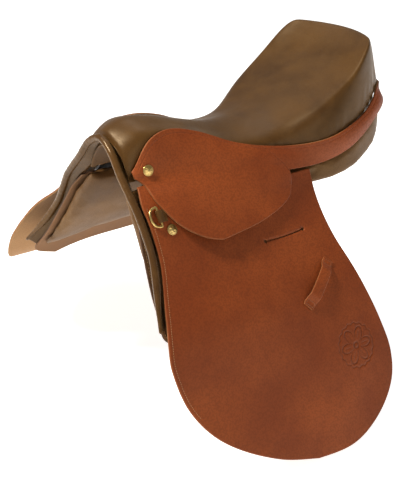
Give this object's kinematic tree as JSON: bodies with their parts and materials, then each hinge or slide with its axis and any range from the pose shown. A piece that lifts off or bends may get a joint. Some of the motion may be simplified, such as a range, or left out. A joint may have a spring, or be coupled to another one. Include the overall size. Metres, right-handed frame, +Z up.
{
  "type": "english riding saddle",
  "caption": "Leather english riding saddle: dished padded seat with raised cantle, small lifting skirts over broad forward flaps, split panels, and brass studs and rings.",
  "frame": {"origin": "on the line of the horse's spine, straight below the deepest point of the seat and under the tree", "axes": "+X to the horse's near (left) side, +Y back towards the cantle, +Z up"},
  "size_m": [0.7377, 0.5486, 0.5582],
  "materials": {
    "seat_leather": "smooth dark brown calf, soft sheen",
    "flap_leather": "reddish tan leather with a pebbled grain",
    "lining_leather": "plain dark brown lining leather",
    "strap_leather": "bridle leather, waxed",
    "foam": "open-cell foam",
    "web": "woven linen web",
    "brass": "polished, slightly worn",
    "steel": "forged and brushed",
    "tree_wood": "laminated beech"
  },
  "bodies": {
    "seat": {"seat_cover": "seat_leather", "seat_foam": "foam", "cantle_band": "flap_leather", "arch_roll": "seat_leather", "arch_lining": "seat_leather", "tree_frame": "tree_wood", "gullet_plate": "steel", "channel_lining": "lining_leather", "near_skirt_stud": "brass", "near_panel": "seat_leather", "near_sweat_flap": "lining_leather", "near_knee_roll": "seat_leather", "near_billet_guard": "strap_leather", "near_point_pocket": "lining_leather", "near_spring": "steel", "near_seat_web": "web", "near_stirrup_bar": "steel", "near_front_bar_rivet": "steel", "near_rear_bar_rivet": "steel", "off_skirt_stud": "brass", "off_panel": "seat_leather", "off_sweat_flap": "lining_leather", "off_knee_roll": "seat_leather", "off_billet_guard": "strap_leather", "off_point_pocket": "lining_leather", "off_spring": "steel", "off_seat_web": "web", "off_stirrup_bar": "steel", "off_front_bar_rivet": "steel", "off_rear_bar_rivet": "steel"},
    "near_flap": {"near_flap": "flap_leather", "near_flap_keeper": "flap_leather", "near_flap_nail": "brass", "near_d_ring_chape": "seat_leather"},
    "near_skirt": {"near_skirt": "flap_leather"},
    "near_ring": {"near_d_ring": "brass"},
    "near_catch": {"near_bar_catch": "steel"},
    "near_front_strap": {"near_billet_front": "strap_leather"},
    "near_middle_strap": {"near_billet_middle": "strap_leather"},
    "near_rear_strap": {"near_billet_rear": "strap_leather"},
    "off_flap": {"off_flap": "flap_leather", "off_flap_keeper": "flap_leather", "off_flap_nail": "brass", "off_d_ring_chape": "seat_leather"},
    "off_skirt": {"off_skirt": "flap_leather"},
    "off_ring": {"off_d_ring": "brass"},
    "off_catch": {"off_bar_catch": "steel"},
    "off_front_strap": {"off_billet_front": "strap_leather"},
    "off_middle_strap": {"off_billet_middle": "strap_leather"},
    "off_rear_strap": {"off_billet_rear": "strap_leather"}
  },
  "joints": [
    {"name": "near_flap_lift", "type": "hinge", "parent": "seat", "child": "near_flap", "pos_m": [0.06896, -0.205, 0.07003], "axis": [-0.121, -0.9875, 0.1012], "range_deg": [0, 50]},
    {"name": "near_skirt_lift", "type": "hinge", "parent": "near_flap", "child": "near_skirt", "pos_m": [0.06896, -0.205, 0.07003], "axis": [-0.121, -0.9875, 0.1012], "range_deg": [0, 30]},
    {"name": "near_ring_swivel", "type": "hinge", "parent": "near_flap", "child": "near_ring", "pos_m": [0.11031, -0.201, 0.02777], "axis": [-0.5581, 0, 0.8298], "range_deg": [0, 60]},
    {"name": "near_catch_pivot", "type": "hinge", "parent": "seat", "child": "near_catch", "pos_m": [0.064, -0.045, 0.057], "axis": [1, 0, 0], "range_deg": [0, 80]},
    {"name": "near_front_strap_swing", "type": "hinge", "parent": "seat", "child": "near_front_strap", "pos_m": [0.08061, -0.10815, 0.03909], "axis": [0.8036, 0.0472, 0.5932], "range_deg": [-3, 3]},
    {"name": "near_middle_strap_swing", "type": "hinge", "parent": "seat", "child": "near_middle_strap", "pos_m": [0.08377, -0.06182, 0.02964], "axis": [0.7899, 0.0554, 0.6107], "range_deg": [-3, 3]},
    {"name": "near_rear_strap_swing", "type": "hinge", "parent": "seat", "child": "near_rear_strap", "pos_m": [0.09191, -0.01568, 0.02442], "axis": [0.7776, 0.0473, 0.627], "range_deg": [-3, 3]},
    {"name": "off_flap_lift", "type": "hinge", "parent": "seat", "child": "off_flap", "pos_m": [-0.06896, -0.205, 0.07003], "axis": [-0.1197, 0.9879, -0.0986], "range_deg": [0, 35]},
    {"name": "off_skirt_lift", "type": "hinge", "parent": "off_flap", "child": "off_skirt", "pos_m": [-0.06896, -0.205, 0.07003], "axis": [-0.1197, 0.9879, -0.0986], "range_deg": [0, 30]},
    {"name": "off_ring_swivel", "type": "hinge", "parent": "off_flap", "child": "off_ring", "pos_m": [-0.11341, -0.201, 0.03214], "axis": [-0.7392, 0, -0.6735], "range_deg": [0, 60]},
    {"name": "off_catch_pivot", "type": "hinge", "parent": "seat", "child": "off_catch", "pos_m": [-0.064, -0.045, 0.057], "axis": [1, 0, 0], "range_deg": [0, 80]},
    {"name": "off_front_strap_swing", "type": "hinge", "parent": "seat", "child": "off_front_strap", "pos_m": [-0.08213, -0.10821, 0.03893], "axis": [-0.6425, 0.0956, 0.7603], "range_deg": [-3, 3]},
    {"name": "off_middle_strap_swing", "type": "hinge", "parent": "seat", "child": "off_middle_strap", "pos_m": [-0.08641, -0.06202, 0.02909], "axis": [-0.6719, 0.0924, 0.7349], "range_deg": [-3, 3]},
    {"name": "off_rear_strap_swing", "type": "hinge", "parent": "seat", "child": "off_rear_strap", "pos_m": [-0.09501, -0.01586, 0.02415], "axis": [-0.6994, 0.0659, 0.7117], "range_deg": [-3, 3]}
  ]
}
